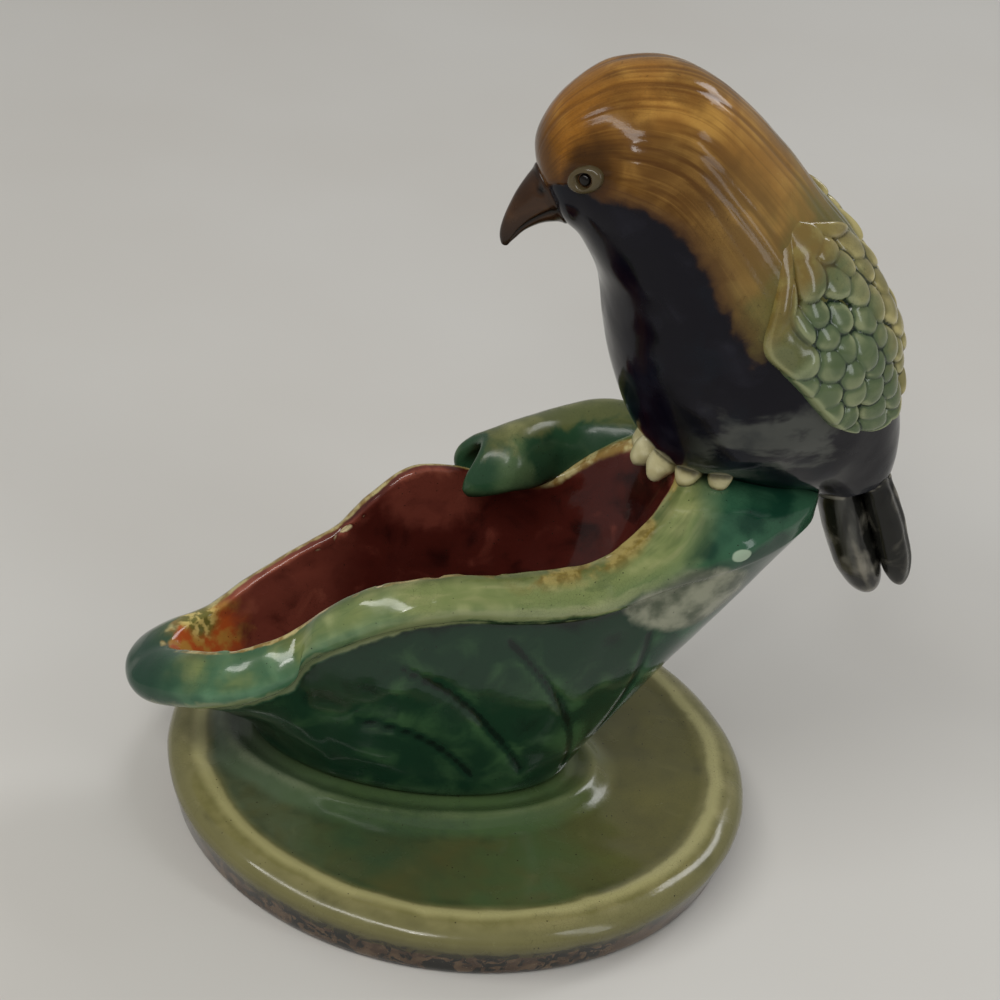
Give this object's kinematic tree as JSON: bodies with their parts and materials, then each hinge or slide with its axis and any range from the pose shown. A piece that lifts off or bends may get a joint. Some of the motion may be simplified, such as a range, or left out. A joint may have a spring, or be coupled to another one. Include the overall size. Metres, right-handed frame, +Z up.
{
  "type": "majolica bird figure",
  "caption": "Glazed earthenware bird perched on the stalk of an open leaf bowl with a rolled lobed rim, all on a round footed base.",
  "frame": {"origin": "on the plane of the shelf, under the middle of the figure's overall length and breadth", "axes": "+X from the leaf's tip towards the bird's tail, +Y away from the side shown in the picture, +Z up"},
  "size_m": [0.1342, 0.102, 0.1399],
  "materials": {
    "olive_glaze": "gloss",
    "leaf_glaze": "gloss",
    "plumage_glaze": "gloss",
    "sage_glaze": "gloss",
    "beak_glaze": "gloss",
    "eye_glaze": "gloss",
    "black_glaze": "gloss",
    "toe_glaze": "gloss"
  },
  "bodies": {
    "root": {"base": "olive_glaze", "leaf_bowl": "leaf_glaze", "leaf_fold": "leaf_glaze", "bird_body": "plumage_glaze", "wing_near": "sage_glaze", "wing_far": "sage_glaze", "beak": "beak_glaze", "eye_ring_near": "eye_glaze", "eye_ring_far": "eye_glaze", "pupil_near": "black_glaze", "pupil_far": "black_glaze", "tail_feather_near": "black_glaze", "tail_feather_far": "black_glaze", "tail_feather_under": "black_glaze", "toe_near_outer": "toe_glaze", "toe_near_middle": "toe_glaze", "toe_near_inner": "toe_glaze", "toe_far_inner": "toe_glaze", "toe_far_middle": "toe_glaze", "toe_far_outer": "toe_glaze"}
  },
  "joints": []
}
